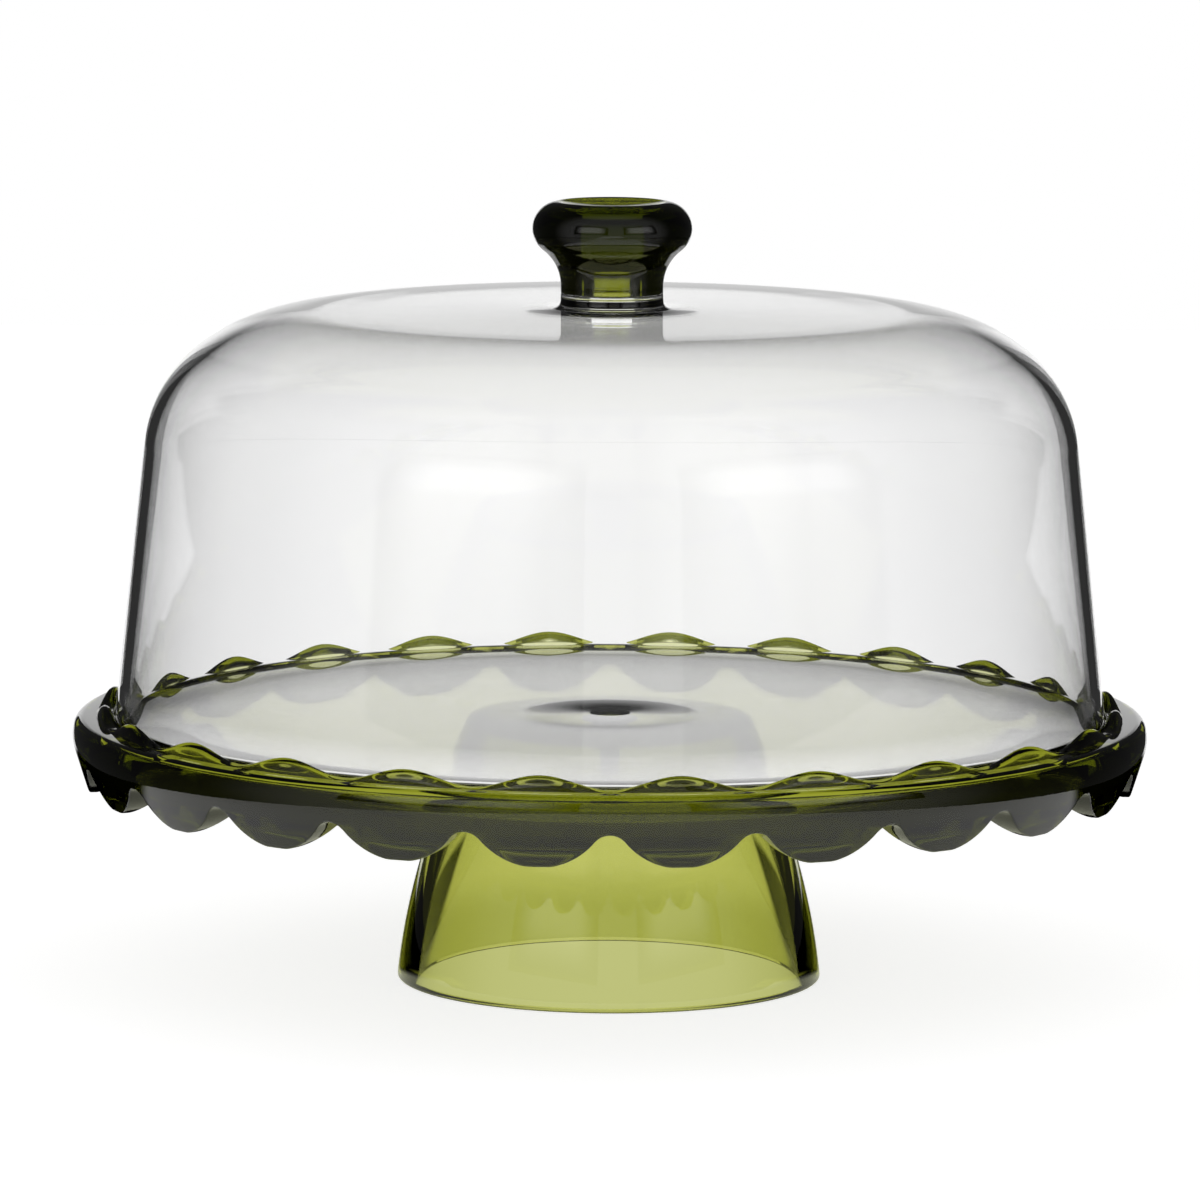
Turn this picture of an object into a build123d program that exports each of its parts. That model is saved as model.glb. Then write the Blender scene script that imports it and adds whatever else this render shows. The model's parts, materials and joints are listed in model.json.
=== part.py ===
"""Footed cake stand with a scalloped plate, a lift-out tray and a lift-off domed cover.

Millimetres, +Z up. The axis of the stand is the Z axis and the foot stands on Z = 0.
A notch of the scalloped rim faces -Y, the side the stand is usually seen from.
"""
from build123d import *
from math import atan2, cos, degrees, pi, radians, sin, sqrt, tan
import os

os.makedirs("parts", exist_ok=True)

# Heights and fits shared by several pieces
foot_height = 75.6
plate_thickness = 3.6
tray_thickness = 3.0
ledge_drop = 0.2          # ledge of the plate below the top face of the tray
tray_gap = 0.4            # radial play of the tray in its recess
dome_gap = 0.5            # radial play of the dome foot inside the ring of humps
glue_gap = 0.1            # radial play of the dome spigot in the knob

# Foot
foot_bottom_radius = 65.3
foot_top_radius = 43.5
foot_bulge = 3.6          # how far the outline bows out from a straight cone at mid height
foot_wall = 6.4
foot_top_thickness = 4.5
foot_edge_round = 1.2

# Plate
rim_radius = 165.0
ledge_width = 12.6        # edge of the recess to the widest line of the rim
rim_edge_round = 3.4      # tighter round from the ledge into the side of the rim
rim_side_round = 12.4     # gentle round of the side of the rim
rim_edge_turn = 75.0      # degrees that the tighter round turns
rim_depth = 21.9          # ledge to the tips of the lobes
rim_lean = 18.0           # degrees inward from vertical, outer face of the lobes
under_rim_slope = 45.0    # degrees inward from vertical, sloping underside of the solid rim
lobe_tip_width = 2.4

# Scallops and humps
lobe_count = 24
notch_rise = 10.3         # lobe tips to the tops of the notches
notch_radius = 5.5
lobe_tip_flat = 0.3       # height taken off the round end of each lobe
hump_height = 4.5
hump_dip_height = 0.9     # height that is left where one hump runs into the next
hump_width = 4.8
hump_setback = 0.4        # edge of the recess to the foot of a hump
hump_root = 1.0           # depth that each hump is rooted in the ledge
hump_spans = 6            # spans lofted along each hump

# Tray
tray_hole_radius = 6.0
tray_edge_chamfer = 0.5

# Dome
dome_wall = 3.4
dome_draft = 6.1          # degrees inward from vertical
dome_wall_height = 84.3   # straight part of the wall
shoulder_radius = 41.1
shoulder_sweep = 49.6     # degrees turned by the tighter, lower shoulder arc
crown_radius = 59.3       # upper shoulder arc
crown_slope = 0.5         # degrees of fall of the nearly flat top
dome_edge_round = 1.0
boss_bottom_radius = 16.4
boss_top_radius = 15.4
boss_height = 4.7
boss_fillet = 2.0
spigot_radius = 6.0
spigot_height = 9.0

# Knob
knob_height = 28.0
knob_neck_radius = 15.7
knob_neck_height = 2.2
knob_bulge_radius = 24.45
knob_bulge_round = 8.25
dish_depth = 1.6
socket_bottom_gap = 0.3

# Clamp that holds the foot to the plate
screw_radius = 3.0
screw_hole_gap = 0.3
screw_head_radius = 5.2
screw_head_height = 1.8
screw_slot_width = 1.2
screw_slot_depth = 0.9
screw_head_round = 0.6
screw_tip_chamfer = 0.6
screw_tail = 2.0
washer_radius = 9.0
washer_thickness = 1.2
nut_across_flats = 10.0
nut_height = 5.0

# Levels that follow from the sizes above
plate_top = foot_height + plate_thickness
tray_top = plate_top + tray_thickness
ledge_top = tray_top - ledge_drop
recess_radius = rim_radius - ledge_width
dome_foot_radius = recess_radius - dome_gap
tray_radius = recess_radius - tray_gap
screw_hole_radius = screw_radius + screw_hole_gap


def foot_radius(level):
    """Outer radius of the foot at a level, on its bowed outline."""
    share = level / foot_height
    cone = foot_bottom_radius + (foot_top_radius - foot_bottom_radius) * share
    return cone + 4 * foot_bulge * share * (1 - share)


def bowed_arc(inset, low, high):
    """Arc of the foot outline, moved in by inset, between two levels."""
    levels = (low, (low + high) / 2, high)
    return ThreePointArc(*[(foot_radius(level) - inset, level) for level in levels])


# Foot: one bowed hollow pedestal, open below, with a flat top that carries the plate
with BuildPart() as foot:
    with BuildSketch(Plane.XZ):
        with BuildLine():
            outer = bowed_arc(0, 0, foot_height)
            top = Line(outer @ 1, (screw_hole_radius, foot_height))
            bore = Line(top @ 1, (screw_hole_radius, foot_height - foot_top_thickness))
            inner = bowed_arc(foot_wall, 0, foot_height - foot_top_thickness)
            Line(bore @ 1, inner @ 1)
            Line(inner @ 0, outer @ 0)
        make_face()
    revolve(axis=Axis.Z)
    ground_edges = foot.edges().filter_by(GeomType.CIRCLE).group_by(Axis.Z)[0]
    fillet(ground_edges, foot_edge_round)
    fillet(foot.edges().filter_by(GeomType.CIRCLE).group_by(Axis.Z)[-1].sort_by(SortBy.RADIUS)[-1],
           foot_edge_round)

foot.part.label = "foot"


# Outer face of the rim, which runs down and inward from its rounded side
lean = radians(rim_lean)
edge_turn = radians(rim_edge_turn)
side_centre = (rim_radius - rim_side_round,
               ledge_top - rim_edge_round * (1 - cos(edge_turn)) - rim_side_round * cos(edge_turn))
ledge_edge = side_centre[0] + (rim_side_round - rim_edge_round) * sin(edge_turn)
rim_face_start = (side_centre[0] + rim_side_round * cos(lean),
                  side_centre[1] - rim_side_round * sin(lean))
tip_level = ledge_top - rim_depth
cut_level = tip_level + lobe_tip_flat


def rim_face_radius(level):
    """Outer radius of the rim at a level below its rounded side."""
    return rim_face_start[0] - (rim_face_start[1] - level) * tan(lean)


# Scallops: the lower edge of the rim is a row of wide round lobes joined by narrow round notches
half_pitch = rim_face_radius(tip_level) * pi / lobe_count
lobe_radius = (half_pitch ** 2 + notch_rise ** 2) / (2 * notch_rise) - notch_radius
lobe_centre = (half_pitch, tip_level + lobe_radius)
notch_centre = (0, tip_level + notch_rise - notch_radius)
blend_share = notch_radius / (notch_radius + lobe_radius)
blend_point = (half_pitch * blend_share,
               notch_centre[1] + (lobe_centre[1] - notch_centre[1]) * blend_share)
flat_end = half_pitch - sqrt(lobe_radius ** 2 - (lobe_radius - lobe_tip_flat) ** 2)
middle_turn = (atan2(blend_point[1] - lobe_centre[1], blend_point[0] - lobe_centre[0])
               + atan2(cut_level - lobe_centre[1], flat_end - lobe_centre[0])) / 2
lobe_middle = (lobe_centre[0] + lobe_radius * cos(middle_turn),
               lobe_centre[1] + lobe_radius * sin(middle_turn))
cut_margin = 2.0
cutter_reach = lobe_tip_width + notch_rise * tan(radians(under_rim_slope)) + cut_margin

with BuildPart() as notch:
    with BuildSketch(Plane.XZ.offset(rim_face_radius(tip_level) - cutter_reach)):
        with BuildLine():
            crest = ThreePointArc((-blend_point[0], blend_point[1]),
                                  (0, tip_level + notch_rise), blend_point)
            right = ThreePointArc(crest @ 1, lobe_middle, (flat_end, cut_level))
            down = Line(right @ 1, (flat_end, cut_level - cut_margin))
            across = Line(down @ 1, (-flat_end, cut_level - cut_margin))
            up = Line(across @ 1, (-flat_end, cut_level))
            ThreePointArc(up @ 1, (-lobe_middle[0], lobe_middle[1]), crest @ 0)
        make_face()
    extrude(amount=2 * cutter_reach)


# Humps: a wavy ring on the ledge, one rounded hump above each lobe and a low dip above each notch
hump_radius = recess_radius + hump_setback + hump_width / 2
hump_turn = 360 / lobe_count


def hump_section(offset):
    """Half-oval section of a hump, at an angle from its middle, rooted in the ledge."""
    swell = (1 + cos(2 * pi * offset / hump_turn)) / 2
    rise = hump_root + hump_dip_height + (hump_height - hump_dip_height) * swell
    turn = radians(hump_turn / 2 + offset - 90)
    out = Vector(cos(turn), sin(turn), 0)
    plane = Plane(origin=out * hump_radius + Vector(0, 0, ledge_top - hump_root), x_dir=out,
                  z_dir=out.cross(Vector(0, 0, 1)))
    with BuildSketch(plane) as section:
        with BuildLine():
            cap = EllipticalCenterArc((0, 0), hump_width / 2, rise, arc_size=180)
            Line(cap @ 1, cap @ 0)
        make_face()
    return section.sketch


hump_offsets = [hump_turn * (step / hump_spans - 0.5) for step in range(hump_spans + 1)]
hump_profiles = [hump_section(offset) for offset in hump_offsets]

with BuildPart() as hump:
    loft(hump_profiles)


# Plate: tray recess, ledge and solid rim, rounded outside and sloping inside, in one revolved section
lobe_outside = (rim_face_radius(cut_level), cut_level)
lobe_inside = (lobe_outside[0] - lobe_tip_width, cut_level)
under_rim_radius = lobe_inside[0] - (foot_height - cut_level) * tan(radians(under_rim_slope))

with BuildPart() as plate:
    with BuildSketch(Plane.XZ):
        with BuildLine():
            floor = Line((screw_hole_radius, plate_top), (recess_radius, plate_top))
            step_up = Line(floor @ 1, (recess_radius, ledge_top))
            ledge = Line(step_up @ 1, (ledge_edge, ledge_top))
            rim_edge = JernArc(ledge @ 1, (1, 0), rim_edge_round, -rim_edge_turn)
            rim_side = JernArc(rim_edge @ 1, rim_edge % 1, rim_side_round,
                               rim_edge_turn - 90 - rim_lean)
            outside = Line(rim_side @ 1, lobe_outside)
            tip = Line(outside @ 1, lobe_inside)
            under_rim = Line(tip @ 1, (under_rim_radius, foot_height))
            under = Line(under_rim @ 1, (screw_hole_radius, foot_height))
            Line(under @ 1, floor @ 0)
        make_face()
    revolve(axis=Axis.Z)
    with PolarLocations(0, lobe_count):
        add(hump.part)
    with PolarLocations(0, lobe_count):
        add(notch.part, mode=Mode.SUBTRACT)

plate.part.label = "plate"


# Tray: flat clear disc with a hole that clears the head of the clamp screw
with BuildPart() as tray:
    with BuildSketch(Plane.XY.offset(plate_top)):
        Circle(tray_radius)
        Circle(tray_hole_radius, mode=Mode.SUBTRACT)
    extrude(amount=tray_thickness)
    chamfer(tray.edges().filter_by(GeomType.CIRCLE).group_by(Axis.Z)[-1], tray_edge_chamfer)

tray.part.label = "tray"


def dome_outline(inset, reach):
    """Dome outline moved in by inset, from the foot up and in to a distance from the axis."""
    draft = radians(dome_draft)
    start = Vector(dome_foot_radius - inset / cos(draft), tray_top)
    end = Vector(dome_foot_radius - dome_wall_height * tan(draft) - inset * cos(draft),
                 tray_top + dome_wall_height - inset * sin(draft))
    wall = Line(start, end)
    low = JernArc(wall @ 1, wall % 1, shoulder_radius - inset, shoulder_sweep)
    high = JernArc(low @ 1, low % 1, crown_radius - inset,
                   90 - dome_draft - shoulder_sweep - crown_slope)
    rise = ((high @ 1).X - reach) * tan(radians(crown_slope))
    crown = Line(high @ 1, (reach, (high @ 1).Y + rise))
    return start, crown @ 1


# Dome: one clear shell with a low boss on top and a spigot that carries the knob
with BuildPart() as dome:
    with BuildSketch(Plane.XZ):
        with BuildLine():
            dome_foot, boss_root = dome_outline(0, boss_bottom_radius)
            wall_foot, ceiling_centre = dome_outline(dome_wall, 0)
            boss_top = boss_root.Y + boss_height
            boss_side = Line(boss_root, (boss_top_radius, boss_top))
            boss_face = Line(boss_side @ 1, (spigot_radius, boss_top))
            spigot_side = Line(boss_face @ 1, (spigot_radius, boss_top + spigot_height))
            spigot_end = Line(spigot_side @ 1, (0, boss_top + spigot_height))
            Line(spigot_end @ 1, ceiling_centre)
            Line(dome_foot, wall_foot)
        make_face()
    revolve(axis=Axis.Z)
    rings = dome.edges().filter_by(GeomType.CIRCLE)
    fillet(rings.group_by(Axis.Z)[0], dome_edge_round)
    seam = rings.filter_by_position(Axis.Z, boss_root.Y, boss_root.Y).sort_by(SortBy.RADIUS)[0]
    fillet(seam, boss_fillet)

dome.part.label = "dome"


# Knob: concave neck, round bulge and a shallow dish on top, over a blind socket
bulge_centre = (knob_bulge_radius - knob_bulge_round, boss_top + knob_height - knob_bulge_round)
neck_end = boss_top + knob_neck_height
across_gap = bulge_centre[0] - knob_neck_radius
up_gap = bulge_centre[1] - neck_end
neck_round = (across_gap ** 2 + up_gap ** 2 - knob_bulge_round ** 2) / (
    2 * (knob_bulge_round + across_gap))
neck_centre = (knob_neck_radius + neck_round, neck_end)
neck_sweep = degrees(atan2(up_gap, neck_centre[0] - bulge_centre[0]))

with BuildPart() as knob:
    with BuildSketch(Plane.XZ):
        with BuildLine():
            foot_line = Line((spigot_radius + glue_gap, boss_top), (knob_neck_radius, boss_top))
            neck = Line(foot_line @ 1, (knob_neck_radius, neck_end))
            flare = JernArc(neck @ 1, (0, 1), neck_round, -neck_sweep)
            bulge = JernArc(flare @ 1, flare % 1, knob_bulge_round, 90 + neck_sweep)
            rim = bulge @ 1
            dish_round = (rim.X ** 2 + dish_depth ** 2) / (2 * dish_depth)
            dish_middle = dish_round - sqrt(dish_round ** 2 - (rim.X / 2) ** 2)
            dish = ThreePointArc(rim, (rim.X / 2, rim.Y - dish_depth + dish_middle),
                                 (0, rim.Y - dish_depth))
            socket_top = boss_top + spigot_height + socket_bottom_gap
            axis_line = Line(dish @ 1, (0, socket_top))
            ceiling = Line(axis_line @ 1, (spigot_radius + glue_gap, socket_top))
            Line(ceiling @ 1, foot_line @ 0)
        make_face()
    revolve(axis=Axis.Z)

knob.part.label = "knob"


# Clamp screw: low slotted head in the hole of the tray, shank through plate and foot
foot_seat = foot_height - foot_top_thickness
nut_top = foot_seat - washer_thickness
nut_bottom = nut_top - nut_height

with BuildPart() as clamp_screw:
    with BuildSketch(Plane.XY.offset(plate_top)):
        Circle(screw_head_radius)
    extrude(amount=screw_head_height)
    fillet(clamp_screw.edges().group_by(Axis.Z)[-1], screw_head_round)
    with BuildSketch(Plane.XY.offset(plate_top + screw_head_height)):
        Rectangle(4 * screw_head_radius, screw_slot_width)
    extrude(amount=-screw_slot_depth, mode=Mode.SUBTRACT)
    with BuildSketch(Plane.XY.offset(nut_bottom - screw_tail)):
        Circle(screw_radius)
    extrude(amount=plate_top - nut_bottom + screw_tail)
    chamfer(clamp_screw.edges().group_by(Axis.Z)[0], screw_tip_chamfer)

clamp_screw.part.label = "clamp_screw"


# Washer between the nut and the top of the foot
with BuildPart() as clamp_washer:
    with BuildSketch(Plane.XY.offset(nut_top)):
        Circle(washer_radius)
        Circle(screw_hole_radius, mode=Mode.SUBTRACT)
    extrude(amount=washer_thickness)

clamp_washer.part.label = "clamp_washer"


# Hexagonal nut, its thread shown as a plain bore that fits the shank
with BuildPart() as clamp_nut:
    with BuildSketch(Plane.XY.offset(nut_bottom)):
        RegularPolygon(nut_across_flats / 2, 6, major_radius=False)
        Circle(screw_radius, mode=Mode.SUBTRACT)
    extrude(amount=nut_height)

clamp_nut.part.label = "clamp_nut"


for piece in (foot, plate, tray, dome, knob, clamp_screw, clamp_washer, clamp_nut):
    export_step(piece.part, f"parts/{piece.part.label}.step")
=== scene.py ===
"""Looks of a footed cake stand with a scalloped green plate, a clear tray and a clear dome.

Metres, +Z up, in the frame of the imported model. A notch of the rim faces -Y, where the camera stands.
"""

import json
from math import atan2, cos, pi, radians, sin, sqrt, tan

import bpy
from bpy.props import FloatProperty, FloatVectorProperty, IntProperty, PointerProperty
from bpy.types import Operator, Panel, PropertyGroup
from mathutils import Euler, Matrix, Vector

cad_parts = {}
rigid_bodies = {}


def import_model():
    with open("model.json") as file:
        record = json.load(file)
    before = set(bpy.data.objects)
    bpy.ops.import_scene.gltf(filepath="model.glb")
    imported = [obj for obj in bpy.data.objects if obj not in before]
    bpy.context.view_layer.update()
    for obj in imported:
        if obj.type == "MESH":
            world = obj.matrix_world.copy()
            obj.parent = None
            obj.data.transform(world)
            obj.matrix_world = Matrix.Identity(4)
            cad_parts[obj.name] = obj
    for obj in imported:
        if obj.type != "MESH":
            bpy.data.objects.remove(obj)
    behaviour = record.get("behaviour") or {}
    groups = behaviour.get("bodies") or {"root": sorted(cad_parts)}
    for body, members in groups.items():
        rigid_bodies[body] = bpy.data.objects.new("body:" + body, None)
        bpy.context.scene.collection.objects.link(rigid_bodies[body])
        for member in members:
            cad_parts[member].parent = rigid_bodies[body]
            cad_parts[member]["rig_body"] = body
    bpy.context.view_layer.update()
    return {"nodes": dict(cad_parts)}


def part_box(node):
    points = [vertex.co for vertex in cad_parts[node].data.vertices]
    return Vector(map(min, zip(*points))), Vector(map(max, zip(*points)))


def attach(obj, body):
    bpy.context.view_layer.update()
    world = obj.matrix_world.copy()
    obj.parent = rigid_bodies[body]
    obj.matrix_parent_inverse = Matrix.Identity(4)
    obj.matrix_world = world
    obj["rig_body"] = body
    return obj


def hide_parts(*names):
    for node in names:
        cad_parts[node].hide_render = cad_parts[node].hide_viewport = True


bl_info = {
    "name": "Domed Cake Stand",
    "version": (1, 0, 0),
    "blender": (4, 5, 0),
    "location": "View3D > Sidebar > Cake Stand",
    "description": "Builds the pieces and the studio of a footed cake stand with a dome",
    "category": "Object",
}

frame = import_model()
MM = 0.001
TINY = 1e-7
WHITE = (1, 1, 1, 1)
SMOOTH = {"interpolation_type": "SMOOTHSTEP"}


def linear(hex_colour):
    """Linear RGB of an sRGB hex colour."""
    values = [int(hex_colour[i:i + 2], 16) / 255 for i in (1, 3, 5)]
    return tuple(v / 12.92 if v <= 0.04045 else ((v + 0.055) / 1.055) ** 2.4 for v in values)


def length(name, description, default):
    """A size in metres, given in millimetres."""
    return FloatProperty(name=name, description=description, default=default * MM, unit="LENGTH",
                         precision=5)


def angle(name, description, default):
    """An angle, given in degrees."""
    return FloatProperty(name=name, description=description, default=radians(default),
                         unit="ROTATION")


def number(name, description, default):
    """A plain number from zero up, such as a brightness or a density."""
    return FloatProperty(name=name, description=description, default=default, min=0)


def colour(name, description, default):
    """A colour, given as an sRGB hex value."""
    return FloatVectorProperty(name=name, description=description, default=linear(default),
                               subtype="COLOR", size=3, min=0, max=1)


class CakeStandSizes(PropertyGroup):
    """Sizes of the moulded pieces."""
    air_film: length("Air film", "Gap left between two pieces that lie on each other", 0.05)
    foot_bottom: length("Foot bottom radius", "Outer radius of the foot on the floor", 65.3)
    foot_top: length("Foot top radius", "Outer radius of the foot under the plate", 43.5)
    foot_bulge: length("Foot bulge", "How far the outline of the foot bows out", 3.6)
    foot_wall: length("Foot wall", "Thickness of the wall of the foot", 6.4)
    foot_cap: length("Foot cap", "Thickness of the flat top of the foot", 4.5)
    foot_round: length("Foot edge round", "Round of the edges of the foot", 1.2)
    bore: length("Bore radius", "Radius of the screw hole in plate and foot", 3.3)
    recess_round: length("Recess edge round", "Round of the upper edge of the recess", 0.15)
    plate_thickness: length("Plate thickness", "Thickness of the floor of the plate", 3.6)
    ledge_drop: length("Ledge drop", "Ledge of the plate below the top of the tray", 0.2)
    ledge_width: length("Ledge width", "Edge of the recess to the widest line of the rim", 12.6)
    rim_edge_round: length("Rim edge round", "Tighter round from the ledge into the rim", 3.4)
    rim_side_round: length("Rim side round", "Gentle round of the side of the rim", 12.4)
    rim_edge_turn: angle("Rim edge turn", "Angle that the tighter round turns", 75)
    rim_lean: angle("Rim lean", "Lean of the outer face of the lobes, inward from vertical", 18)
    under_rim_slope: angle("Under rim slope", "Lean of the underside of the rim, inward from vertical", 45)
    lobe_tip: length("Lobe tip width", "Width of the tips of the lobes", 2.4)
    lobe_edge_round: length("Lobe edge round", "Round of the edges of the lobes", 0.7)
    lobes: IntProperty(name="Lobes", description="Lobes of the rim, each with a hump above it",
                       default=24)
    notch_rise: length("Notch rise", "Tips of the lobes to the tops of the notches", 10.3)
    notch_radius: length("Notch radius", "Radius of the top of a notch", 5.5)
    lobe_flat: length("Lobe flat", "Height taken off the round end of each lobe", 0.3)
    hump_height: length("Hump height", "Height of a hump above the ledge", 4.5)
    hump_dip: length("Hump dip height", "Height left where one hump runs into the next", 0.45)
    hump_width: length("Hump width", "Width of a hump across the ledge", 4.8)
    hump_setback: length("Hump setback", "Edge of the recess to the foot of a hump", 0.4)
    tray_hole: length("Tray hole radius", "Radius of the hole in the middle of the tray", 6.0)
    tray_edge: length("Tray edge", "Softened upper edge of the tray", 0.5)
    dome_foot: length("Dome foot radius", "Outer radius of the foot of the dome", 151.9)
    dome_wall: length("Dome wall", "Thickness of the wall of the dome", 3.4)
    dome_draft: angle("Dome draft", "Lean of the wall of the dome, inward from vertical", 6.1)
    dome_straight: length("Dome straight height", "Height of the straight part of the wall", 84.3)
    shoulder_radius: length("Shoulder radius", "Lower arc of the shoulder of the dome", 41.1)
    shoulder_sweep: angle("Shoulder sweep", "Angle turned by the lower arc of the shoulder", 49.6)
    crown_radius: length("Crown radius", "Upper arc of the shoulder of the dome", 59.3)
    crown_slope: angle("Crown slope", "Fall of the nearly flat top of the dome", 0.5)
    crown_shift: length("Crown shift", "How much further in the crown starts on the inside", 3.2)
    dome_round: length("Dome edge round", "Round of the foot of the dome", 1.0)
    boss_bottom: length("Boss bottom radius", "Radius of the boss where it leaves the dome", 15.8)
    boss_top: length("Boss top radius", "Radius of the boss under the knob", 15.7)
    boss_height: length("Boss height", "Height of the boss on the dome", 4.7)
    boss_fillet: length("Boss fillet", "Fillet between the boss and the dome", 2.4)
    spigot_radius: length("Spigot radius", "Radius of the spigot that carries the knob", 6.0)
    spigot_height: length("Spigot height", "Height of the spigot above the boss", 9.0)
    glue_gap: length("Glue gap", "Gap between the spigot and the socket of the knob", 0.1)
    neck_radius: length("Knob neck radius", "Radius of the neck of the knob", 15.7)
    neck_height: length("Knob neck height", "Height of the straight part of the neck", 2.2)
    bulge_round: length("Knob bulge round", "Round of the bulge of the knob", 8.25)
    dish_depth: length("Knob dish depth", "Depth of the dish in the top of the knob", 1.6)
    socket_end_gap: length("Socket end gap", "Gap between the spigot and the end of the socket", 0.3)
    small_round: length("Small edge round", "Round of the edges where knob, boss and spigot meet", 0.3)


class CakeStandFinishes(PropertyGroup):
    """Colours and surfaces of the plastics, and how strongly they dye the light that goes through."""
    green: colour("Green dye", "Colour that a thick green wall lets through", "#D8DB18")
    green_density: number("Green density", "Strength of the green dye per metre", 170)
    knob_density: number("Knob density", "Strength of the dye in the solid knob per metre", 280)
    green_wave: length("Green wave size", "Size of the faint waves in the green mouldings", 30)
    clear: colour("Clear tint", "Faint tint of the clear acrylic", "#D6DCE6")
    clear_density: number("Clear density", "Strength of the clear tint per metre", 3)
    clear_wave: length("Clear wave size", "Size of the faint waves in the clear mouldings", 40)
    wave_depth: length("Wave depth", "Depth of the faint waves", 0.02)
    nylon: colour("Nylon", "Colour of the dark nylon fixings", "#24241F")
    grain_size: length("Grain size", "Size of the grain in the surface of the nylon", 0.4)
    grain_depth: length("Grain depth", "Depth of the grain in the surface of the nylon", 0.02)


class CakeStandStage(PropertyGroup):
    """Camera and studio."""
    camera_side: length("Camera side", "Camera to the right of the axis of the stand", -3.2168)
    camera_distance: length("Camera distance", "Camera in front of the axis of the stand", 2500)
    camera_height: length("Camera height", "Camera above the floor", 451.8)
    camera_pitch: FloatProperty(name="Camera pitch", description="Camera looks down by this angle",
                                default=0.1331, unit="ROTATION")
    camera_roll: FloatProperty(name="Camera roll", description="Camera is turned about its view",
                               default=0.0048, unit="ROTATION")
    lens: FloatProperty(name="Lens", description="Focal length in millimetres on a 36 mm sensor",
                        default=246.49, unit="CAMERA")
    box_distance: length("Softbox distance", "Softboxes from the axis of the stand", 1500)
    box_low: length("Softbox low", "Lower edge of the softboxes above the floor", 150)
    box_high: length("Softbox high", "Upper edge of the softboxes above the floor", 1000)
    box_width: angle("Softbox width", "Width of a softbox, as the stand sees it", 50)
    left_box: angle("Left softbox", "Direction of the left softbox, from the front", -31)
    right_box: angle("Right softbox", "Direction of the right softbox, from the front", 41)
    box_glow: number("Softbox glow", "Brightness of the softboxes, 1 is white", 1.3)
    box_fade: number("Softbox fade", "Share of a softbox over which it fades to its edge", 0.3)
    room: number("Room", "Brightness of the dark room beside the paper", 0.03)
    front: number("Front", "Brightness of the room behind the camera", 0.4)
    paper_width: length("Paper width", "Width of the paper far behind the stand", 1100)
    paper_near_width: length("Paper near width", "Width of the paper beside and before the stand", 560)
    paper_before: length("Paper before", "How far the paper reaches before the stand", 1500)
    paper_widens: length("Paper widens", "Distance behind the stand at which the paper widens", 400)
    paper_behind: length("Paper behind", "Distance behind the stand at which the paper rises", 2000)
    paper_fade_low: length("Paper fade low", "Height at which the risen paper starts to darken", 280)
    paper_fade_high: length("Paper fade high", "Height at which the risen paper is dark", 680)
    paper_drop: length("Paper drop", "Paper below the foot, so that the two don't share a level", 0.1)
    paper_white: number("Paper white", "Share of the light that the matt paper throws back", 0.8)
    paper_glow: number("Paper glow", "Part of the paper's white that isn't lit", 0.8)
    lamp_light: number("Light", "Brightness of the even light on the paper", 0.3)
    # painted shade: two dark patches painted on the paper beside and behind the foot, which only the plastic
    # sees
    painted_patch_gap: length("Flag gap", "Black flags beside the foot, from its axis", 72)
    painted_patch_angle: angle("Flag angle", "Angle by which the black flags spread behind the foot", 9)
    painted_patch_length: length("Flag length", "How far the black flags reach behind the foot", 420)
    painted_patch_fade: length("Flag fade", "Distance over which the black flags begin", 20)
    # painted shade: colour and radii of the green shade painted on the paper under the plate, which only the
    # plastic sees
    shade: colour("Shade", "Colour of the paper in the green shade below the plate", "#E0E2C8")
    shade_inner: length("Shade inner radius", "Radius within which the shade is full", 120)
    shade_outer: length("Shade outer radius", "Radius at which the shade ends", 230)


class Pen:
    """Draws half an outline, as points at a radius and a level, by lines and arcs."""

    def __init__(self, radius, level):
        self.points = [(radius, level, 0.0)]
        self.heading = 0.0

    def to(self, radius, level, steps=1):
        """Straight line to a point, in equal steps."""
        r, z, _ = self.points[-1]
        self.heading = atan2(level - z, radius - r)
        for step in range(1, steps + 1):
            share = step / steps
            self.points.append((r + (radius - r) * share, z + (level - z) * share, 0.0))
        return self

    def arc(self, radius, turn, steps):
        """Arc that leaves in the current heading. A positive turn is to the left."""
        r, z, _ = self.points[-1]
        side = 1 if turn > 0 else -1
        from_centre = self.heading - side * pi / 2
        centre = (r - radius * cos(from_centre), z - radius * sin(from_centre))
        for step in range(1, steps + 1):
            a = from_centre + turn * step / steps
            self.points.append((centre[0] + radius * cos(a), centre[1] + radius * sin(a), 0.0))
        self.heading += turn
        return self

    def corner(self, radius):
        """Rounds the last point by a radius."""
        r, z, _ = self.points[-1]
        self.points[-1] = (r, z, radius)
        return self

    def end(self):
        """Last point as (radius, level)."""
        return self.points[-1][:2]


def rounded(points, steps=6):
    """Closed outline whose marked corners are replaced by arcs."""
    outline = []
    for i, (r, z, radius) in enumerate(points):
        if radius == 0:
            outline.append((r, z))
            continue
        here = Vector((r, z))
        to_last = Vector(points[i - 1][:2]) - here
        to_next = Vector(points[(i + 1) % len(points)][:2]) - here
        half = to_last.angle(to_next) / 2
        middle = (to_last.normalized() + to_next.normalized()).normalized()
        centre = here + middle * (radius / sin(half))
        start = here + to_last.normalized() * (radius / tan(half)) - centre
        stop = here + to_next.normalized() * (radius / tan(half)) - centre
        sweep = start.angle_signed(stop)
        for step in range(steps + 1):
            a = -sweep * step / steps
            outline.append((centre.x + start.x * cos(a) - start.y * sin(a),
                            centre.y + start.x * sin(a) + start.y * cos(a)))
    area = sum(outline[i - 1][0] * z - r * outline[i - 1][1] for i, (r, z) in enumerate(outline))
    return outline if area > 0 else outline[::-1]


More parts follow.
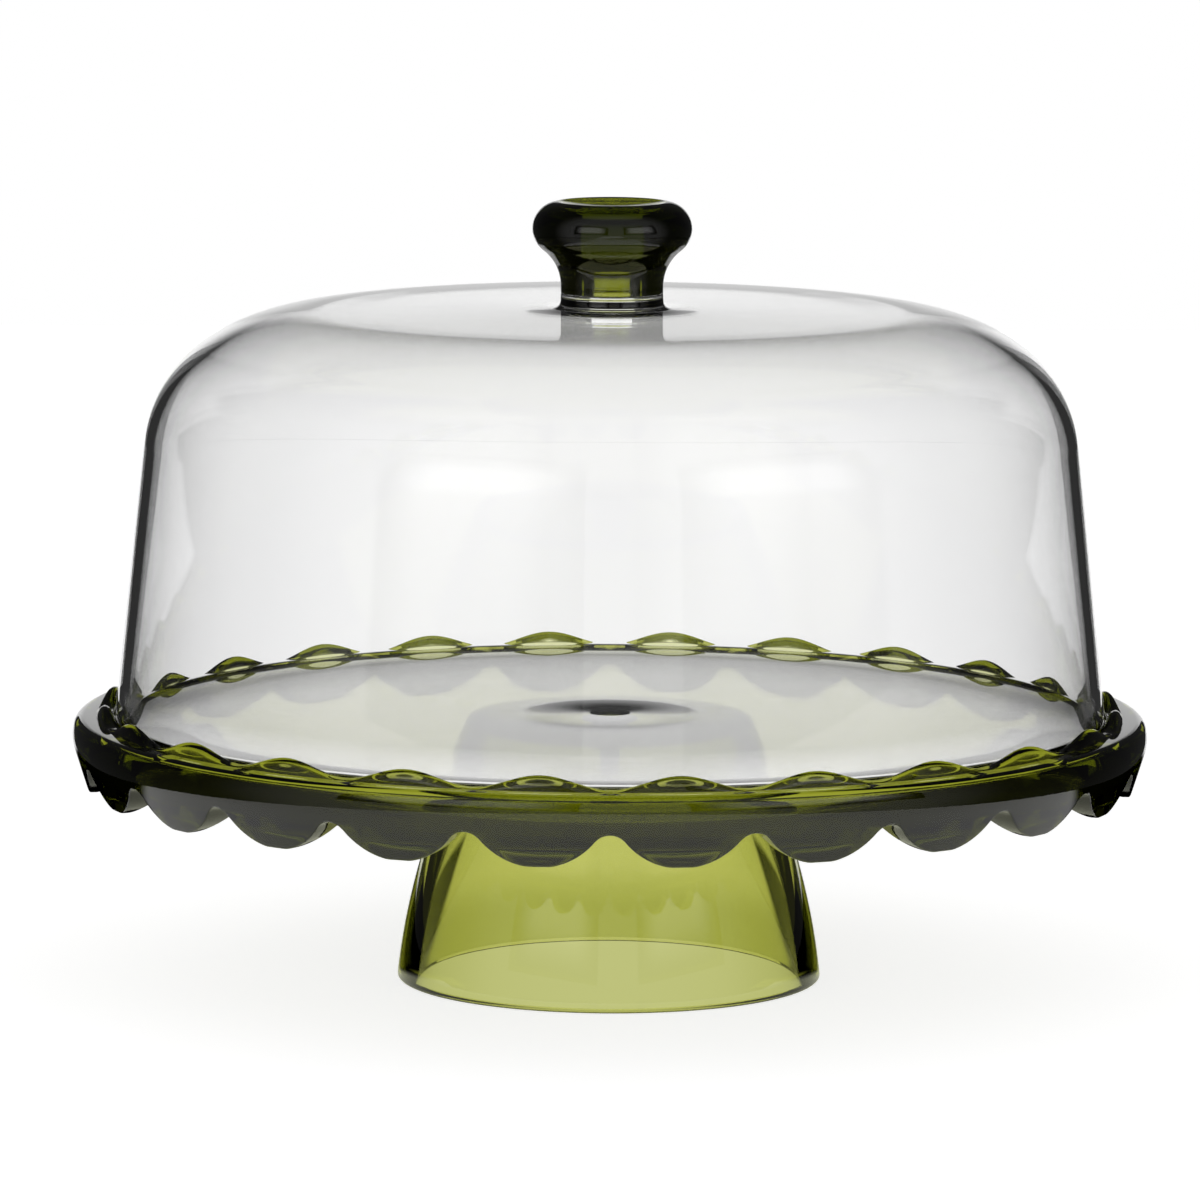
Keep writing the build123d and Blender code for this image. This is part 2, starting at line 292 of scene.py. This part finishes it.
def new_piece(name, points, faces, sharp_angle=30):
    """A mesh piece, smooth except along edges sharper than an angle."""
    mesh = bpy.data.meshes.new(name)
    mesh.from_pydata(points, [], faces)
    mesh.validate()
    mesh.polygons.foreach_set("use_smooth", [True] * len(mesh.polygons))
    mesh.set_sharp_from_angle(angle=radians(sharp_angle))
    piece = bpy.data.objects.new(name, mesh)
    bpy.context.scene.collection.objects.link(piece)
    return piece


def turned_piece(name, outline, turns):
    """A closed outline of (radius, level) points turned about Z. Points on the axis are poles."""
    points, rings = [], []
    for r, z in outline:
        on_axis = r < TINY
        rings.append((len(points), on_axis))
        for turn in range(1 if on_axis else turns):
            a = 2 * pi * turn / turns
            points.append((r * sin(a), -r * cos(a), z))
    faces = []
    for i, (low, low_pole) in enumerate(rings):
        high, high_pole = rings[(i + 1) % len(rings)]
        if low_pole and high_pole:
            continue
        for turn in range(turns):
            after = (turn + 1) % turns
            if low_pole:
                faces.append((low, high + after, high + turn))
            elif high_pole:
                faces.append((low + turn, low + after, high))
            else:
                faces.append((low + turn, low + after, high + after, high + turn))
    return new_piece(name, points, faces)


def ringed_piece(name, section, turns):
    """A closed section that changes along its way round the Z axis."""
    sections = [section(2 * pi * turn / turns) for turn in range(turns)]
    count = len(sections[0])
    points = []
    for turn, outline in enumerate(sections):
        a = 2 * pi * turn / turns
        points += [(r * sin(a), -r * cos(a), z) for r, z in outline]
    faces = []
    for turn in range(turns):
        here, there = turn * count, (turn + 1) % turns * count
        for i in range(count):
            after = (i + 1) % count
            faces.append((here + i, there + i, there + after, here + after))
    return new_piece(name, points, faces)


def place(piece, node, material):
    """The piece stands for a CAD node and rides on its body."""
    piece.data.materials.append(material)
    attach(piece, frame["nodes"][node]["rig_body"])
    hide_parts(node)


def sizes():
    """Sizes of the stand, as the sidebar shows them."""
    return bpy.context.scene.cake_stand_sizes


def finishes():
    """Finishes of the stand, as the sidebar shows them."""
    return bpy.context.scene.cake_stand_finishes


def top_of(node):
    """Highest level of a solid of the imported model."""
    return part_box(node)[1].z


def bottom_of(node):
    """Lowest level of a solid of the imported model."""
    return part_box(node)[0].z


def add_node(tree, kind, settings=None, **links):
    """A shader node with its settings. Its inputs are set to values, or linked to sockets or nodes.

    An input is given by its name, or by its place in the node, with in0 for the first.
    """
    node = tree.nodes.new(kind)
    for name, value in (settings or {}).items():
        setattr(node, name, value)
    for name, value in links.items():
        numbered = name.startswith("in") and name[2:].isdigit()
        socket = node.inputs[int(name[2:]) if numbered else name.replace("_", " ")]
        if isinstance(value, bpy.types.Node):
            value = value.outputs[0]
        if isinstance(value, bpy.types.NodeSocket):
            tree.links.new(value, socket)
        else:
            socket.default_value = value
    return node


def material_with_tree(name):
    """A material and its empty node tree."""
    material = bpy.data.materials.get(name) or bpy.data.materials.new(name)
    material.use_nodes = True
    material.node_tree.nodes.clear()
    return material, material.node_tree


def acrylic(name, dye, density, wave_size):
    """Injection-moulded acrylic, as bright and sharp as glass because the steel of the mould is polished.

    The dye is in the plastic, so thick walls look deeper than thin ones. Faint waves, from the way the
    plastic flows and shrinks in the mould, make reflections and edges run a little unevenly.
    """
    material, tree = material_with_tree(name)
    place_in = add_node(tree, "ShaderNodeTexCoord").outputs["Object"]
    waves = add_node(tree, "ShaderNodeTexNoise", None, Vector=place_in, Scale=1 / wave_size,
                     Detail=2.0, Roughness=0.4)
    bump = add_node(tree, "ShaderNodeBump", None, Strength=1.0, Distance=finishes().wave_depth,
                    Height=waves)
    surface = add_node(tree, "ShaderNodeBsdfPrincipled", None, Base_Color=WHITE, Roughness=0.0,
                       IOR=1.49, Transmission_Weight=1.0, Normal=bump)
    volume = add_node(tree, "ShaderNodeVolumeAbsorption", None, Color=(*dye, 1), Density=density)
    add_node(tree, "ShaderNodeOutputMaterial", None, Surface=surface, Volume=volume)
    return material


def green_acrylic():
    """Olive green where light crosses one wall, and deep and dark where it runs along the plastic."""
    return acrylic("moulded green acrylic", finishes().green, finishes().green_density,
                   finishes().green_wave)


def deep_green_acrylic():
    """Dyed more strongly for the thick knob, which looks almost black but glows in its thin neck."""
    return acrylic("moulded deep green acrylic", finishes().green, finishes().knob_density,
                   finishes().green_wave)


def clear_acrylic():
    """Water clear. Its tint only shows as a cold grey where light runs along a wall."""
    return acrylic("moulded clear acrylic", finishes().clear, finishes().clear_density,
                   finishes().clear_wave)


def dark_nylon():
    """Injection-moulded nylon with the fine grain of a spark-eroded mould.

    It is almost black, and the grain spreads highlights to a soft satin sheen.
    """
    material, tree = material_with_tree("moulded dark nylon")
    place_in = add_node(tree, "ShaderNodeTexCoord").outputs["Object"]
    grain = add_node(tree, "ShaderNodeTexNoise", None, Vector=place_in,
                     Scale=1 / finishes().grain_size, Detail=3.0)
    bump = add_node(tree, "ShaderNodeBump", None, Strength=0.4, Distance=finishes().grain_depth,
                    Height=grain)
    surface = add_node(tree, "ShaderNodeBsdfPrincipled", None, Base_Color=(*finishes().nylon, 1),
                       Roughness=0.45, IOR=1.53, Normal=bump)
    add_node(tree, "ShaderNodeOutputMaterial", None, Surface=surface)
    return material


class CAKESTAND_OT_foot(Operator):
    """Build the hollow green foot"""
    bl_idname = "cakestand.foot"
    bl_label = "Foot"

    def execute(self, context):
        s = sizes()
        height = top_of("foot")

        def radius(level):
            """Outer radius of the foot at a level: a straight taper that bows out in its middle."""
            share = level / height
            taper = s.foot_bottom + (s.foot_top - s.foot_bottom) * share
            return taper + 4 * s.foot_bulge * share * (1 - share)

        rows = 18
        top = height - s.air_film
        ceiling = height - s.foot_cap
        pen = Pen(radius(0), 0.0).corner(s.foot_round)
        for row in range(1, rows + 1):
            level = top * row / rows
            pen.to(radius(level), level)
        pen.corner(s.foot_round)
        pen.to(s.bore, top).to(s.bore, ceiling)
        pen.to(radius(ceiling) - s.foot_wall, ceiling)
        for row in range(rows - 1, -1, -1):
            level = ceiling * row / rows
            pen.to(radius(level) - s.foot_wall, level)
        pen.corner(s.foot_round)
        foot = turned_piece("foot_moulding", rounded(pen.points), turns=240)
        place(foot, "foot", green_acrylic())
        return {"FINISHED"}


class CAKESTAND_OT_plate(Operator):
    """Build the scalloped green plate with its ring of humps"""
    bl_idname = "cakestand.plate"
    bl_label = "Plate"

    def execute(self, context):
        s = sizes()
        underside = top_of("foot")
        floor = underside + s.plate_thickness
        ledge = top_of("tray") - s.ledge_drop
        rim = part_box("plate")[1].x
        recess = rim - s.ledge_width
        cut_level = bottom_of("plate")
        tip = cut_level - s.lobe_flat
        lean = s.rim_lean
        turn = s.rim_edge_turn
        side_centre = (rim - s.rim_side_round,
                       ledge - s.rim_edge_round * (1 - cos(turn)) - s.rim_side_round * cos(turn))
        ledge_edge = side_centre[0] + (s.rim_side_round - s.rim_edge_round) * sin(turn)
        face_start = (side_centre[0] + s.rim_side_round * cos(lean),
                       side_centre[1] - s.rim_side_round * sin(lean))
        hump_radius = recess + s.hump_setback + s.hump_width / 2

        def face_radius(level):
            """Radius of the outer face of the lobes at a level."""
            return face_start[0] - (face_start[1] - level) * tan(lean)

        def slope_radius(level):
            """Radius of the sloping underside of the rim at a level."""
            lobe_inside = face_radius(cut_level) - s.lobe_tip
            return lobe_inside - (level - cut_level) * tan(s.under_rim_slope)

        pitch = 2 * pi / s.lobes
        half_pitch = face_radius(tip) * pitch / 2
        lobe_radius = (half_pitch ** 2 + s.notch_rise ** 2) / (2 * s.notch_rise) - s.notch_radius
        blend = half_pitch * s.notch_radius / (s.notch_radius + lobe_radius)

        def edge_level(around):
            """Level of the scalloped edge at an angle round the plate."""
            from_notch = abs((around + pitch / 2) % pitch - pitch / 2) * face_radius(tip)
            if from_notch < blend:
                drop = s.notch_radius - sqrt(s.notch_radius ** 2 - from_notch ** 2)
                return tip + s.notch_rise - drop
            from_tip = half_pitch - from_notch
            return max(tip + lobe_radius - sqrt(lobe_radius ** 2 - from_tip ** 2), cut_level)

        def hump_level(around):
            """Height of the humps above the ledge at an angle round the plate."""
            swell = (1 - cos(2 * pi * around / pitch)) / 2
            return s.hump_dip + (s.hump_height - s.hump_dip) * swell

        def section(around):
            """Section of the plate, from the bore over the recess, hump and rim and back below."""
            edge = edge_level(around)
            rise = hump_level(around)
            pen = Pen(s.bore, underside).to(s.bore, floor).to(recess, floor, steps=4)
            pen.to(recess, ledge).corner(s.recess_round)
            pen.to(hump_radius - s.hump_width / 2, ledge)
            hump_steps = 14
            for step in range(1, hump_steps + 1):
                a = pi * (1 - step / hump_steps)
                pen.to(hump_radius + s.hump_width / 2 * cos(a), ledge + rise * sin(a))
            pen.to(ledge_edge, ledge)
            pen.arc(s.rim_edge_round, -turn, steps=10)
            pen.arc(s.rim_side_round, -(pi / 2 + lean - turn), steps=8)
            pen.to(face_radius(edge), edge, steps=5).corner(s.lobe_edge_round)
            pen.to(slope_radius(edge), edge).corner(s.lobe_edge_round)
            pen.to(slope_radius(underside), underside, steps=8).to(s.bore, underside, steps=4)
            pen.points.pop()
            return rounded(pen.points, steps=4)

        sections_per_lobe = 40
        plate = ringed_piece("plate_moulding", section, turns=s.lobes * sections_per_lobe)
        place(plate, "plate", green_acrylic())
        return {"FINISHED"}


class CAKESTAND_OT_tray(Operator):
    """Build the clear tray"""
    bl_idname = "cakestand.tray"
    bl_label = "Tray"

    def execute(self, context):
        s = sizes()
        low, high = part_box("tray")
        pen = Pen(s.tray_hole, low.z + s.air_film)
        pen.to(s.tray_hole, high.z).corner(s.tray_edge)
        pen.to(high.x, high.z, steps=6).corner(s.tray_edge)
        pen.to(high.x, low.z + s.air_film).to(s.tray_hole, low.z + s.air_film, steps=6)
        pen.points.pop()
        tray = turned_piece("tray_disc", rounded(pen.points, steps=4), turns=240)
        place(tray, "tray", clear_acrylic())
        return {"FINISHED"}


def dome_outline(inset, shift, reach, base, s):
    """Pen that has drawn the wall, shoulder and top of the dome, moved in by inset.

    The bend to the top starts nearer the axis by shift, and its arc is widened to fit. The inside has such a
    shift, because this bend would otherwise show the dark room above as a black line.
    """
    draft, slope = s.dome_draft, s.crown_slope
    foot = top_of("tray")
    # how far the two arcs reach across and up, per unit of their radius
    bend = pi / 2 - draft - s.shoulder_sweep
    crown_across, crown_up = sin(bend) - sin(slope), cos(slope) - cos(bend)
    shoulder_across, shoulder_up = cos(draft) - sin(bend), cos(bend) - sin(draft)
    # where the top ends and the crown starts, as a radius and a level above the foot of the dome
    crown_start = (s.dome_foot - s.dome_straight * tan(draft) - s.shoulder_radius * shoulder_across
                   - s.crown_radius * crown_across - shift)
    crown_level = (s.dome_straight + s.shoulder_radius * shoulder_up + s.crown_radius * crown_up
                   - inset / cos(slope) + shift * tan(slope))
    # the arc of the crown that joins this start to the wall in tangents
    wall = s.dome_foot - inset / cos(draft)
    shoulder = s.shoulder_radius - inset
    gap = wall - crown_start - shoulder * shoulder_across
    gap -= (crown_level - shoulder * shoulder_up) * tan(draft)
    crown = gap / (crown_across - crown_up * tan(draft))
    straight = crown_level - shoulder * shoulder_up - crown * crown_up
    pen = Pen(wall - (base - foot) * tan(draft), base)
    pen.to(wall - straight * tan(draft), foot + straight, steps=8)
    pen.arc(shoulder, s.shoulder_sweep, steps=22)
    pen.arc(crown, bend - slope, steps=16)
    r, z = pen.end()
    return pen.to(reach, z + (r - reach) * tan(slope), steps=6)


class CAKESTAND_OT_dome(Operator):
    """Build the clear dome with its boss and spigot"""
    bl_idname = "cakestand.dome"
    bl_label = "Dome"

    def execute(self, context):
        s = sizes()
        base = top_of("tray") + s.air_film
        inner = dome_outline(s.dome_wall, s.crown_shift, 0.0, base, s)
        pen = dome_outline(0.0, 0.0, s.boss_bottom, base, s)
        pen.corner(s.boss_fillet)
        boss_top = pen.end()[1] + s.boss_height
        pen.to(s.boss_top, boss_top).corner(s.small_round)
        pen.to(s.spigot_radius, boss_top)
        pen.to(s.spigot_radius, boss_top + s.spigot_height).corner(s.small_round)
        pen.to(0.0, boss_top + s.spigot_height)
        points = pen.points + inner.points[::-1]
        points[0] = (*points[0][:2], s.dome_round)
        points[-1] = (*points[-1][:2], s.dome_round)
        dome = turned_piece("dome_moulding", rounded(points), turns=360)
        place(dome, "dome", clear_acrylic())
        return {"FINISHED"}


class CAKESTAND_OT_knob(Operator):
    """Build the solid green knob with its dished top"""
    bl_idname = "cakestand.knob"
    bl_label = "Knob"

    def execute(self, context):
        s = sizes()
        low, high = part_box("knob")
        base = low.z + s.air_film
        bulge = (high.x - s.bulge_round, high.z - s.bulge_round)
        neck_end = low.z + s.neck_height
        across, up = bulge[0] - s.neck_radius, bulge[1] - neck_end
        neck_round = (across ** 2 + up ** 2 - s.bulge_round ** 2) / (2 * (s.bulge_round + across))
        sweep = atan2(up, s.neck_radius + neck_round - bulge[0])
        socket = s.spigot_radius + s.glue_gap
        socket_top = low.z + s.spigot_height + s.socket_end_gap
        pen = Pen(0.0, socket_top).to(socket, socket_top).to(socket, base)
        pen.to(s.neck_radius, base, steps=2).corner(s.small_round)
        pen.to(s.neck_radius, neck_end, steps=2)
        pen.arc(neck_round, -sweep, steps=18)
        pen.arc(s.bulge_round, pi / 2 + sweep, steps=30)
        rim = pen.end()[0]
        dish_round = (rim ** 2 + s.dish_depth ** 2) / (2 * s.dish_depth)
        dish_steps = 16
        for step in range(1, dish_steps + 1):
            r = rim * (1 - step / dish_steps)
            pen.to(r, high.z - s.dish_depth + dish_round - sqrt(dish_round ** 2 - r ** 2))
        knob = turned_piece("knob_moulding", rounded(pen.points), turns=240)
        place(knob, "knob", deep_green_acrylic())
        return {"FINISHED"}


class CAKESTAND_OT_clamp(Operator):
    """Finish the nylon screw, washer and nut that hold the foot to the plate"""
    bl_idname = "cakestand.clamp"
    bl_label = "Clamp"

    def execute(self, context):
        nylon = dark_nylon()
        for node in ("clamp_screw", "clamp_washer", "clamp_nut"):
            piece = frame["nodes"][node]
            piece.data.materials.clear()
            piece.data.materials.append(nylon)
        return {"FINISHED"}


def painted_green_shade(tree, place_in, stage):
    """Colour of the paper in the plastic: white, with a painted green shade round the foot that stands in
    for the shade of the plate.
    """
    from_axis = add_node(tree, "ShaderNodeVectorMath", {"operation": "LENGTH"}, in0=place_in)
    open_light = add_node(tree, "ShaderNodeMapRange", SMOOTH, Value=from_axis.outputs["Value"],
                          From_Min=stage.shade_inner, From_Max=stage.shade_outer)
    tone = add_node(tree, "ShaderNodeMix", {"data_type": "RGBA"}, in0=open_light,
                    in6=(*stage.shade, 1), in7=WHITE)
    return tone.outputs[2]


def painted_dark_patches(tree, place_in, stage):
    """1 on the paper and 0 on two dark patches painted on it, which only the plastic sees; this painted
    shade gives the sides of the foot their dark bands.
    """
    # the painted dark patches fade in from this share of their gap, and out from this share of their length
    soft_side, soft_end = 0.85, 0.8
    x, y, _ = add_node(tree, "ShaderNodeSeparateXYZ", None, Vector=place_in).outputs
    spread = add_node(tree, "ShaderNodeMath", {"operation": "MULTIPLY"}, in0=y,
                      in1=tan(stage.painted_patch_angle))
    to_side = add_node(tree, "ShaderNodeMath", {"operation": "ABSOLUTE"}, in0=x)
    aside = add_node(tree, "ShaderNodeMath", {"operation": "SUBTRACT"}, in0=to_side, in1=spread)
    beside = add_node(tree, "ShaderNodeMapRange", SMOOTH, Value=aside,
                      From_Min=stage.painted_patch_gap * soft_side, From_Max=stage.painted_patch_gap)
    begun = add_node(tree, "ShaderNodeMapRange", SMOOTH, Value=y, From_Min=0.0,
                     From_Max=stage.painted_patch_fade)
    not_ended = add_node(tree, "ShaderNodeMapRange", SMOOTH, Value=y, From_Min=stage.painted_patch_length,
                         From_Max=stage.painted_patch_length * soft_end)
    behind = add_node(tree, "ShaderNodeMath", {"operation": "MULTIPLY"}, in0=begun, in1=not_ended)
    painted_patches = add_node(tree, "ShaderNodeMath", {"operation": "MULTIPLY"}, in0=beside, in1=behind)
    return add_node(tree, "ShaderNodeMath", {"operation": "SUBTRACT"}, in0=1.0, in1=painted_patches)


def matt_white_paper(stage):
    """Uncoated paper from a roll: matt, with no highlight, and white where the camera sees it.

    The camera sees the shadow of the stand on it. In the plastic it shows no cast shadow, so that the edges
    stay calm; there it has a painted green shade under the plate and painted dark patches beside the foot.
    """
    material, tree = material_with_tree("matt white paper")
    white = stage.paper_white
    matt = add_node(tree, "ShaderNodeBsdfDiffuse", None, Color=(white, white, white, 1))
    path = add_node(tree, "ShaderNodeLightPath").outputs
    glow = add_node(tree, "ShaderNodeMath", {"operation": "MULTIPLY"}, in0=path["Is Camera Ray"],
                    in1=stage.paper_glow)
    shine = add_node(tree, "ShaderNodeEmission", None, Color=WHITE, Strength=glow)
    direct = add_node(tree, "ShaderNodeAddShader", None, in0=matt, in1=shine)
    place_in = add_node(tree, "ShaderNodeTexCoord").outputs["Object"]
    # in the plastic: white with a painted green shade under the plate, and black on the painted dark patches
    # beside the foot
    even = add_node(tree, "ShaderNodeEmission", None, Color=painted_green_shade(tree, place_in, stage),
                    Strength=painted_dark_patches(tree, place_in, stage))
    in_plastic = add_node(tree, "ShaderNodeMath", {"operation": "MAXIMUM"},
                          in0=path["Is Glossy Ray"], in1=path["Is Transmission Ray"])
    both = add_node(tree, "ShaderNodeMixShader", None, in0=in_plastic, in1=direct, in2=even)
    add_node(tree, "ShaderNodeOutputMaterial", None, Surface=both)
    return material


def lit_white_paper(stage):
    """The same paper where it rises behind the stand, lit below and darker towards its top."""
    material, tree = material_with_tree("lit white paper")
    place_in = add_node(tree, "ShaderNodeTexCoord").outputs["Object"]
    height = add_node(tree, "ShaderNodeSeparateXYZ", None, Vector=place_in).outputs[2]
    lit = add_node(tree, "ShaderNodeMapRange", SMOOTH, Value=height,
                   From_Min=stage.paper_fade_high, From_Max=stage.paper_fade_low)
    shine = add_node(tree, "ShaderNodeEmission", None, Color=WHITE, Strength=lit)
    add_node(tree, "ShaderNodeOutputMaterial", None, Surface=shine)
    return material


def softbox_cloth(stage):
    """Woven white cloth with a lamp behind it: bright in its middle and soft towards its edges."""
    material, tree = material_with_tree("softbox cloth")
    place_on = add_node(tree, "ShaderNodeTexCoord").outputs["UV"]
    across, up, _ = add_node(tree, "ShaderNodeSeparateXYZ", None, Vector=place_on).outputs
    glow = stage.box_glow
    for way in (across, up):
        from_far_edge = add_node(tree, "ShaderNodeMath", {"operation": "SUBTRACT"}, in0=1.0, in1=way)
        from_edge = add_node(tree, "ShaderNodeMath", {"operation": "MINIMUM"}, in0=way,
                             in1=from_far_edge)
        fade = add_node(tree, "ShaderNodeMapRange", SMOOTH, Value=from_edge, From_Min=0.0,
                        From_Max=stage.box_fade)
        glow = add_node(tree, "ShaderNodeMath", {"operation": "MULTIPLY"}, in0=glow, in1=fade)
    shine = add_node(tree, "ShaderNodeEmission", None, Color=WHITE, Strength=glow)
    add_node(tree, "ShaderNodeOutputMaterial", None, Surface=shine)
    return material


def stage_sheet(name, corners, faces, material, seen_by_camera=True):
    """A flat sheet of the studio, which isn't part of the stand."""
    sheet = new_piece(name, corners, faces)
    sheet.visible_camera = seen_by_camera
    sheet.data.materials.append(material)
    return sheet


class CAKESTAND_OT_stage(Operator):
    """Set the paper, the studio light and the camera"""
    bl_idname = "cakestand.stage"
    bl_label = "Stage"

    def execute(self, context):
        stage = context.scene.cake_stand_stage
        self.paper(stage)
        self.risen_paper(stage)
        self.world(context, stage)
        cloth = softbox_cloth(stage)
        self.softbox(stage, "softbox_left", stage.left_box, cloth)
        self.softbox(stage, "softbox_right", stage.right_box, cloth)
        self.camera(context, stage)
        return {"FINISHED"}

    def paper(self, stage):
        """Paper under the stand, narrow beside it and wide where it rises."""
        narrow, wide = stage.paper_near_width / 2, stage.paper_width / 2
        near, middle, far = -stage.paper_before, stage.paper_widens, stage.paper_behind
        level = -stage.paper_drop
        corners = [(-narrow, near, level), (narrow, near, level), (narrow, middle, level),
                   (-narrow, middle, level), (wide, far, level), (-wide, far, level)]
        stage_sheet("paper", corners, [(0, 1, 2, 3), (3, 2, 4, 5)], matt_white_paper(stage))

    def risen_paper(self, stage):
        """Paper where it rises behind the stand. Only the plastic shows it."""
        half, behind, top = stage.paper_width / 2, stage.paper_behind, stage.paper_fade_high
        corners = [(-half, behind, 0), (half, behind, 0), (half, behind, top), (-half, behind, top)]
        stage_sheet("risen_paper", corners, [(0, 1, 2, 3)], lit_white_paper(stage),
                    seen_by_camera=False)

    def world(self, context, stage):
        """Dark room, a little lighter behind the camera, and even light on the paper.

        The camera sees white, so the background is white beside the paper too.
        """
        world = bpy.data.worlds.new("studio")
        context.scene.world = world
        world.use_nodes = True
        tree = world.node_tree
        tree.nodes.clear()
        # the room lightens between these two directions, given by their way towards the back
        side, before = 0.1, -0.5
        towards = add_node(tree, "ShaderNodeTexCoord").outputs["Generated"]
        y = add_node(tree, "ShaderNodeSeparateXYZ", None, Vector=towards).outputs[1]
        room = add_node(tree, "ShaderNodeMapRange", SMOOTH, Value=y, From_Min=side, From_Max=before,
                        To_Min=stage.room, To_Max=stage.front)
        path = add_node(tree, "ShaderNodeLightPath").outputs
        seen = add_node(tree, "ShaderNodeMath", {"operation": "MAXIMUM"}, in0=room,
                        in1=path["Is Camera Ray"])
        light = add_node(tree, "ShaderNodeMix", {"data_type": "FLOAT"},
                         Factor=path["Is Diffuse Ray"], A=seen, B=stage.lamp_light)
        background = add_node(tree, "ShaderNodeBackground", None, Color=WHITE, Strength=light)
        add_node(tree, "ShaderNodeOutputWorld", None, Surface=background)

    def softbox(self, stage, name, middle, cloth):
        """Upright softbox in a direction from the front, which faces the stand."""
        first, last = middle - stage.box_width / 2, middle + stage.box_width / 2
        corners = [(stage.box_distance * sin(a), -stage.box_distance * cos(a), level)
                   for a, level in ((first, stage.box_low), (last, stage.box_low),
                                    (last, stage.box_high), (first, stage.box_high))]
        sheet = stage_sheet(name, corners, [(0, 1, 2, 3)], cloth, seen_by_camera=False)
        layer = sheet.data.uv_layers.new(name="UVMap")
        for loop, uv in zip(layer.data, ((0, 0), (1, 0), (1, 1), (0, 1))):
            loop.uv = uv

    def camera(self, context, stage):
        """Camera with a long lens before the stand, which looks slightly down."""
        camera = bpy.data.cameras.new("camera")
        camera.lens = stage.lens
        camera.sensor_width = 36
        camera.clip_end = 100
        stand = bpy.data.objects.new("camera", camera)
        stand.location = (stage.camera_side, -stage.camera_distance, stage.camera_height)
        turn = Euler((pi / 2 - stage.camera_pitch, 0, 0)).to_matrix()
        turn = turn @ Euler((0, 0, stage.camera_roll)).to_matrix()
        stand.rotation_euler = turn.to_euler()
        context.scene.collection.objects.link(stand)
        context.scene.camera = stand


OPERATORS = (CAKESTAND_OT_foot, CAKESTAND_OT_plate, CAKESTAND_OT_tray, CAKESTAND_OT_dome,
             CAKESTAND_OT_knob, CAKESTAND_OT_clamp, CAKESTAND_OT_stage)


class CAKESTAND_PT_sidebar(Panel):
    """Buttons and values of the cake stand"""
    bl_label = "Cake Stand"
    bl_space_type = "VIEW_3D"
    bl_region_type = "UI"
    bl_category = "Cake Stand"

    def draw(self, context):
        for operator in OPERATORS:
            self.layout.operator(operator.bl_idname)
        for group in (context.scene.cake_stand_sizes, context.scene.cake_stand_finishes,
                      context.scene.cake_stand_stage):
            box = self.layout.box()
            for name in group.bl_rna.properties.keys():
                if name not in ("rna_type", "name"):
                    box.prop(group, name)


CLASSES = (CakeStandSizes, CakeStandFinishes, CakeStandStage, *OPERATORS, CAKESTAND_PT_sidebar)


def register():
    """Make the operators, the panel and the values known to Blender."""
    for kind in CLASSES:
        bpy.utils.register_class(kind)
    bpy.types.Scene.cake_stand_sizes = PointerProperty(type=CakeStandSizes)
    bpy.types.Scene.cake_stand_finishes = PointerProperty(type=CakeStandFinishes)
    bpy.types.Scene.cake_stand_stage = PointerProperty(type=CakeStandStage)


def unregister():
    """Take away what register made known."""
    del bpy.types.Scene.cake_stand_stage
    del bpy.types.Scene.cake_stand_finishes
    del bpy.types.Scene.cake_stand_sizes
    for kind in reversed(CLASSES):
        bpy.utils.unregister_class(kind)


def main():
    """Build every piece and the stage."""
    register()
    bpy.ops.cakestand.foot()
    bpy.ops.cakestand.plate()
    bpy.ops.cakestand.tray()
    bpy.ops.cakestand.dome()
    bpy.ops.cakestand.knob()
    bpy.ops.cakestand.clamp()
    bpy.ops.cakestand.stage()
    bpy.context.scene.view_settings.view_transform = "Standard"
    bpy.context.view_layer.update()


if __name__ == "__main__":
    main()
